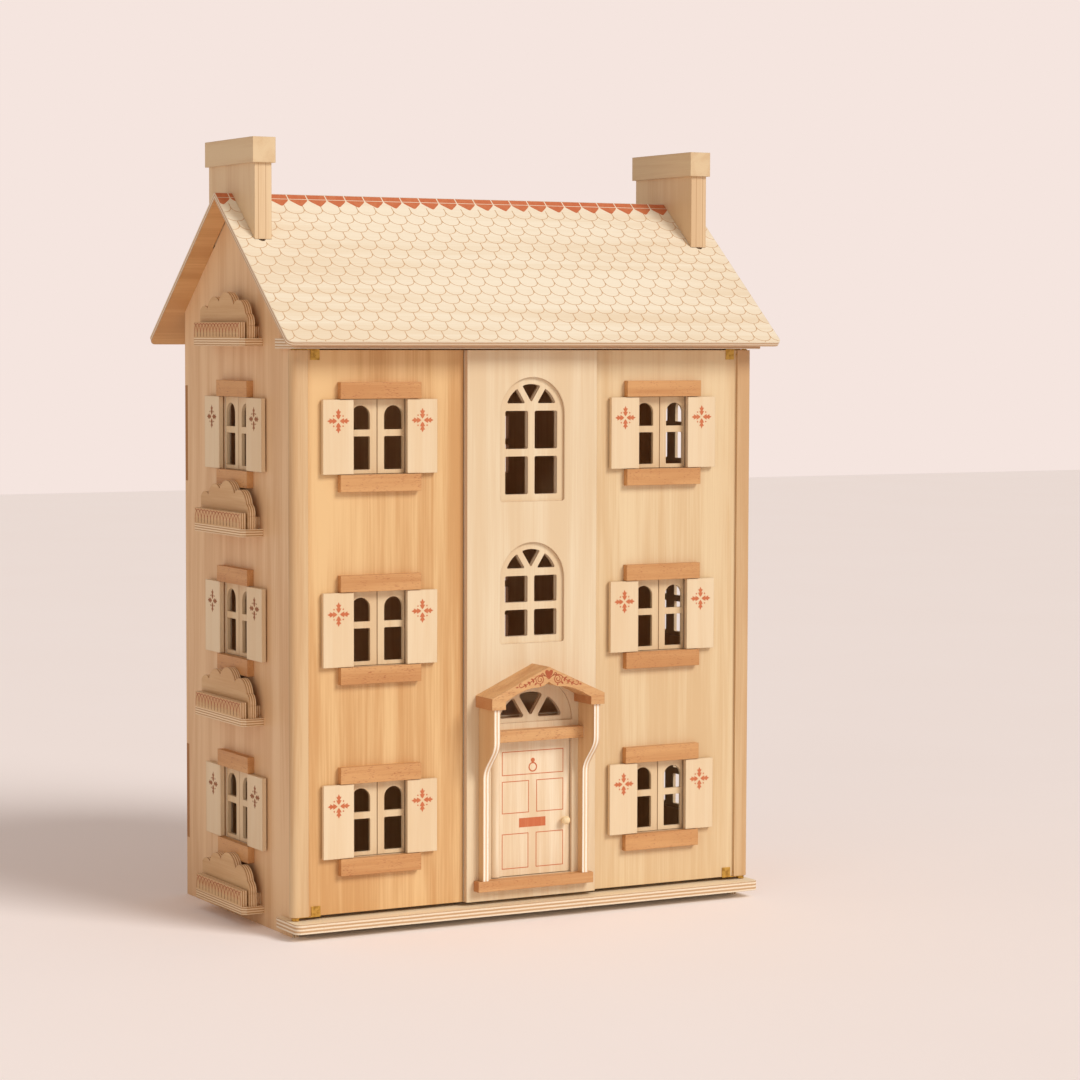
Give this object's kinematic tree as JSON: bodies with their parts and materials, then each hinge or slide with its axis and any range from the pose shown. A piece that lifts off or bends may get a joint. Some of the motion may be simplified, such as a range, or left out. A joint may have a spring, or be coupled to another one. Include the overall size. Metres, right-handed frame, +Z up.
{
  "type": "dollhouse",
  "caption": "Three-storey wooden dollhouse with facade doors on pivots, opening windows and shutters, a front door, porch, window boxes and lift-off chimneys.",
  "frame": {"origin": "on the floor, under the middle of the outer box", "axes": "+Z up, the facade faces -Y, +X to the right as seen from the front"},
  "size_m": [0.632, 0.416, 0.8859],
  "materials": {
    "wall_ply": "clear-lacquered birch ply, fine lengthwise grain",
    "door_ply": "clear-lacquered poplar-faced ply with golden streaks",
    "tower_ply": "clear-lacquered pale ply",
    "edge_ply": "pale ply with its layers showing on the edges",
    "roof_ply": "cream-stained ply with printed scalloped tiles and ridge caps",
    "beech": "lacquered solid beech with short flecks",
    "shutter_wood": "pale cream-stained wood with a printed terracotta motif",
    "sash_wood": "pale cream-stained wood",
    "box_ply": "pale ply with visible layers and a printed rail",
    "chimney_wood": "clear-lacquered pale wood in three layers",
    "door_wood": "pale cream-stained wood with printed terracotta panels",
    "pivot_brass": "satin brass"
  },
  "bodies": {
    "house": {"left_side_panel": "wall_ply", "right_side_panel": "wall_ply", "back_panel": "wall_ply", "base_board": "edge_ply", "upper_floors": "edge_ply", "front_roof_panel": "roof_ply", "rear_roof_panel": "roof_ply", "left_wall_window_rails": "beech", "right_wall_windows": "shutter_wood", "window_boxes": "box_ply"},
    "left_chimney": {"left_chimney": "chimney_wood"},
    "right_chimney": {"right_chimney": "chimney_wood"},
    "left_facade": {"left_door_panel": "door_ply", "left_door_stile": "beech", "left_door_window_rails": "beech", "left_door_pivots": "pivot_brass"},
    "right_facade": {"right_door_panel": "door_ply", "right_door_stile": "beech", "right_door_window_rails": "beech", "right_door_pivots": "pivot_brass", "tower_panel": "tower_ply", "porch": "beech"},
    "front_door": {"front_door": "door_wood", "door_knob": "door_wood"},
    "left_door_ground_left_shutter": {"left_door_ground_left_shutter": "shutter_wood"},
    "left_door_ground_left_sash": {"left_door_ground_left_sash": "sash_wood"},
    "left_door_ground_right_shutter": {"left_door_ground_right_shutter": "shutter_wood"},
    "left_door_ground_right_sash": {"left_door_ground_right_sash": "sash_wood"},
    "left_door_middle_left_shutter": {"left_door_middle_left_shutter": "shutter_wood"},
    "left_door_middle_left_sash": {"left_door_middle_left_sash": "sash_wood"},
    "left_door_middle_right_shutter": {"left_door_middle_right_shutter": "shutter_wood"},
    "left_door_middle_right_sash": {"left_door_middle_right_sash": "sash_wood"},
    "left_door_top_left_shutter": {"left_door_top_left_shutter": "shutter_wood"},
    "left_door_top_left_sash": {"left_door_top_left_sash": "sash_wood"},
    "left_door_top_right_shutter": {"left_door_top_right_shutter": "shutter_wood"},
    "left_door_top_right_sash": {"left_door_top_right_sash": "sash_wood"},
    "right_door_ground_left_shutter": {"right_door_ground_left_shutter": "shutter_wood"},
    "right_door_ground_left_sash": {"right_door_ground_left_sash": "sash_wood"},
    "right_door_ground_right_shutter": {"right_door_ground_right_shutter": "shutter_wood"},
    "right_door_ground_right_sash": {"right_door_ground_right_sash": "sash_wood"},
    "right_door_middle_left_shutter": {"right_door_middle_left_shutter": "shutter_wood"},
    "right_door_middle_left_sash": {"right_door_middle_left_sash": "sash_wood"},
    "right_door_middle_right_shutter": {"right_door_middle_right_shutter": "shutter_wood"},
    "right_door_middle_right_sash": {"right_door_middle_right_sash": "sash_wood"},
    "right_door_top_left_shutter": {"right_door_top_left_shutter": "shutter_wood"},
    "right_door_top_left_sash": {"right_door_top_left_sash": "sash_wood"},
    "right_door_top_right_shutter": {"right_door_top_right_shutter": "shutter_wood"},
    "right_door_top_right_sash": {"right_door_top_right_sash": "sash_wood"},
    "left_wall_ground_left_shutter": {"left_wall_ground_left_shutter": "shutter_wood"},
    "left_wall_ground_left_sash": {"left_wall_ground_left_sash": "sash_wood"},
    "left_wall_ground_right_shutter": {"left_wall_ground_right_shutter": "shutter_wood"},
    "left_wall_ground_right_sash": {"left_wall_ground_right_sash": "sash_wood"},
    "left_wall_middle_left_shutter": {"left_wall_middle_left_shutter": "shutter_wood"},
    "left_wall_middle_left_sash": {"left_wall_middle_left_sash": "sash_wood"},
    "left_wall_middle_right_shutter": {"left_wall_middle_right_shutter": "shutter_wood"},
    "left_wall_middle_right_sash": {"left_wall_middle_right_sash": "sash_wood"},
    "left_wall_top_left_shutter": {"left_wall_top_left_shutter": "shutter_wood"},
    "left_wall_top_left_sash": {"left_wall_top_left_sash": "sash_wood"},
    "left_wall_top_right_shutter": {"left_wall_top_right_shutter": "shutter_wood"},
    "left_wall_top_right_sash": {"left_wall_top_right_sash": "sash_wood"}
  },
  "joints": [
    {"name": "left_facade_hinge", "type": "hinge", "parent": "house", "child": "left_facade", "pos_m": [-0.29, -0.156, 0.337], "axis": [0, 0, -1], "range_deg": [0, 120]},
    {"name": "right_facade_hinge", "type": "hinge", "parent": "house", "child": "right_facade", "pos_m": [0.29, -0.156, 0.337], "axis": [0, 0, 1], "range_deg": [0, 120]},
    {"name": "front_door_hinge", "type": "hinge", "parent": "right_facade", "child": "front_door", "pos_m": [-0.045, -0.1605, 0.128], "axis": [0, 0, 1], "range_deg": [0, 90]},
    {"name": "left_chimney_lift", "type": "slide", "parent": "house", "child": "left_chimney", "axis": [0, 0, 1], "range_m": [0, 0.12]},
    {"name": "right_chimney_lift", "type": "slide", "parent": "house", "child": "right_chimney", "axis": [0, 0, 1], "range_m": [0, 0.12]},
    {"name": "left_door_ground_left_shutter_hinge", "type": "hinge", "parent": "left_facade", "child": "left_door_ground_left_shutter", "pos_m": [-0.22603, -0.16404, 0.1273], "axis": [0, 0, 1], "range_deg": [0, 180]},
    {"name": "left_door_ground_left_sash_hinge", "type": "hinge", "parent": "left_facade", "child": "left_door_ground_left_sash", "pos_m": [-0.2224, -0.155, 0.1273], "axis": [0, 0, 1], "range_deg": [0, 90]},
    {"name": "left_door_ground_right_shutter_hinge", "type": "hinge", "parent": "left_facade", "child": "left_door_ground_right_shutter", "pos_m": [-0.15497, -0.16404, 0.1273], "axis": [0, 0, -1], "range_deg": [0, 180]},
    {"name": "left_door_ground_right_sash_hinge", "type": "hinge", "parent": "left_facade", "child": "left_door_ground_right_sash", "pos_m": [-0.1586, -0.155, 0.1273], "axis": [0, 0, -1], "range_deg": [0, 90]},
    {"name": "left_door_middle_left_shutter_hinge", "type": "hinge", "parent": "left_facade", "child": "left_door_middle_left_shutter", "pos_m": [-0.22603, -0.16404, 0.3403], "axis": [0, 0, 1], "range_deg": [0, 180]},
    {"name": "left_door_middle_left_sash_hinge", "type": "hinge", "parent": "left_facade", "child": "left_door_middle_left_sash", "pos_m": [-0.2224, -0.155, 0.3403], "axis": [0, 0, 1], "range_deg": [0, 90]},
    {"name": "left_door_middle_right_shutter_hinge", "type": "hinge", "parent": "left_facade", "child": "left_door_middle_right_shutter", "pos_m": [-0.15497, -0.16404, 0.3403], "axis": [0, 0, -1], "range_deg": [0, 180]},
    {"name": "left_door_middle_right_sash_hinge", "type": "hinge", "parent": "left_facade", "child": "left_door_middle_right_sash", "pos_m": [-0.1586, -0.155, 0.3403], "axis": [0, 0, -1], "range_deg": [0, 90]},
    {"name": "left_door_top_left_shutter_hinge", "type": "hinge", "parent": "left_facade", "child": "left_door_top_left_shutter", "pos_m": [-0.22603, -0.16404, 0.5533], "axis": [0, 0, 1], "range_deg": [0, 180]},
    {"name": "left_door_top_left_sash_hinge", "type": "hinge", "parent": "left_facade", "child": "left_door_top_left_sash", "pos_m": [-0.2224, -0.155, 0.5533], "axis": [0, 0, 1], "range_deg": [0, 90]},
    {"name": "left_door_top_right_shutter_hinge", "type": "hinge", "parent": "left_facade", "child": "left_door_top_right_shutter", "pos_m": [-0.15497, -0.16404, 0.5533], "axis": [0, 0, -1], "range_deg": [0, 180]},
    {"name": "left_door_top_right_sash_hinge", "type": "hinge", "parent": "left_facade", "child": "left_door_top_right_sash", "pos_m": [-0.1586, -0.155, 0.5533], "axis": [0, 0, -1], "range_deg": [0, 90]},
    {"name": "right_door_ground_left_shutter_hinge", "type": "hinge", "parent": "right_facade", "child": "right_door_ground_left_shutter", "pos_m": [0.13847, -0.16404, 0.1273], "axis": [0, 0, 1], "range_deg": [0, 180]},
    {"name": "right_door_ground_left_sash_hinge", "type": "hinge", "parent": "right_facade", "child": "right_door_ground_left_sash", "pos_m": [0.1421, -0.155, 0.1273], "axis": [0, 0, 1], "range_deg": [0, 90]},
    {"name": "right_door_ground_right_shutter_hinge", "type": "hinge", "parent": "right_facade", "child": "right_door_ground_right_shutter", "pos_m": [0.20953, -0.16404, 0.1273], "axis": [0, 0, -1], "range_deg": [0, 180]},
    {"name": "right_door_ground_right_sash_hinge", "type": "hinge", "parent": "right_facade", "child": "right_door_ground_right_sash", "pos_m": [0.2059, -0.155, 0.1273], "axis": [0, 0, -1], "range_deg": [0, 90]},
    {"name": "right_door_middle_left_shutter_hinge", "type": "hinge", "parent": "right_facade", "child": "right_door_middle_left_shutter", "pos_m": [0.13847, -0.16404, 0.3403], "axis": [0, 0, 1], "range_deg": [0, 180]},
    {"name": "right_door_middle_left_sash_hinge", "type": "hinge", "parent": "right_facade", "child": "right_door_middle_left_sash", "pos_m": [0.1421, -0.155, 0.3403], "axis": [0, 0, 1], "range_deg": [0, 90]},
    {"name": "right_door_middle_right_shutter_hinge", "type": "hinge", "parent": "right_facade", "child": "right_door_middle_right_shutter", "pos_m": [0.20953, -0.16404, 0.3403], "axis": [0, 0, -1], "range_deg": [0, 180]},
    {"name": "right_door_middle_right_sash_hinge", "type": "hinge", "parent": "right_facade", "child": "right_door_middle_right_sash", "pos_m": [0.2059, -0.155, 0.3403], "axis": [0, 0, -1], "range_deg": [0, 90]},
    {"name": "right_door_top_left_shutter_hinge", "type": "hinge", "parent": "right_facade", "child": "right_door_top_left_shutter", "pos_m": [0.13847, -0.16404, 0.5533], "axis": [0, 0, 1], "range_deg": [0, 180]},
    {"name": "right_door_top_left_sash_hinge", "type": "hinge", "parent": "right_facade", "child": "right_door_top_left_sash", "pos_m": [0.1421, -0.155, 0.5533], "axis": [0, 0, 1], "range_deg": [0, 90]},
    {"name": "right_door_top_right_shutter_hinge", "type": "hinge", "parent": "right_facade", "child": "right_door_top_right_shutter", "pos_m": [0.20953, -0.16404, 0.5533], "axis": [0, 0, -1], "range_deg": [0, 180]},
    {"name": "right_door_top_right_sash_hinge", "type": "hinge", "parent": "right_facade", "child": "right_door_top_right_sash", "pos_m": [0.2059, -0.155, 0.5533], "axis": [0, 0, -1], "range_deg": [0, 90]},
    {"name": "left_wall_ground_left_shutter_hinge", "type": "hinge", "parent": "house", "child": "left_wall_ground_left_shutter", "pos_m": [-0.29404, 0.04223, 0.1273], "axis": [0, 0, 1], "range_deg": [0, 180]},
    {"name": "left_wall_ground_left_sash_hinge", "type": "hinge", "parent": "house", "child": "left_wall_ground_left_sash", "pos_m": [-0.2872, 0.0355, 0.1273], "axis": [0, 0, 1], "range_deg": [0, 90]},
    {"name": "left_wall_ground_right_shutter_hinge", "type": "hinge", "parent": "house", "child": "left_wall_ground_right_shutter", "pos_m": [-0.29404, -0.04023, 0.1273], "axis": [0, 0, -1], "range_deg": [0, 180]},
    {"name": "left_wall_ground_right_sash_hinge", "type": "hinge", "parent": "house", "child": "left_wall_ground_right_sash", "pos_m": [-0.2872, -0.0335, 0.1273], "axis": [0, 0, -1], "range_deg": [0, 90]},
    {"name": "left_wall_middle_left_shutter_hinge", "type": "hinge", "parent": "house", "child": "left_wall_middle_left_shutter", "pos_m": [-0.29404, 0.04223, 0.3403], "axis": [0, 0, 1], "range_deg": [0, 180]},
    {"name": "left_wall_middle_left_sash_hinge", "type": "hinge", "parent": "house", "child": "left_wall_middle_left_sash", "pos_m": [-0.2872, 0.0355, 0.3403], "axis": [0, 0, 1], "range_deg": [0, 90]},
    {"name": "left_wall_middle_right_shutter_hinge", "type": "hinge", "parent": "house", "child": "left_wall_middle_right_shutter", "pos_m": [-0.29404, -0.04023, 0.3403], "axis": [0, 0, -1], "range_deg": [0, 180]},
    {"name": "left_wall_middle_right_sash_hinge", "type": "hinge", "parent": "house", "child": "left_wall_middle_right_sash", "pos_m": [-0.2872, -0.0335, 0.3403], "axis": [0, 0, -1], "range_deg": [0, 90]},
    {"name": "left_wall_top_left_shutter_hinge", "type": "hinge", "parent": "house", "child": "left_wall_top_left_shutter", "pos_m": [-0.29404, 0.04223, 0.5533], "axis": [0, 0, 1], "range_deg": [0, 180]},
    {"name": "left_wall_top_left_sash_hinge", "type": "hinge", "parent": "house", "child": "left_wall_top_left_sash", "pos_m": [-0.2872, 0.0355, 0.5533], "axis": [0, 0, 1], "range_deg": [0, 90]},
    {"name": "left_wall_top_right_shutter_hinge", "type": "hinge", "parent": "house", "child": "left_wall_top_right_shutter", "pos_m": [-0.29404, -0.04023, 0.5533], "axis": [0, 0, -1], "range_deg": [0, 180]},
    {"name": "left_wall_top_right_sash_hinge", "type": "hinge", "parent": "house", "child": "left_wall_top_right_sash", "pos_m": [-0.2872, -0.0335, 0.5533], "axis": [0, 0, -1], "range_deg": [0, 90]}
  ]
}
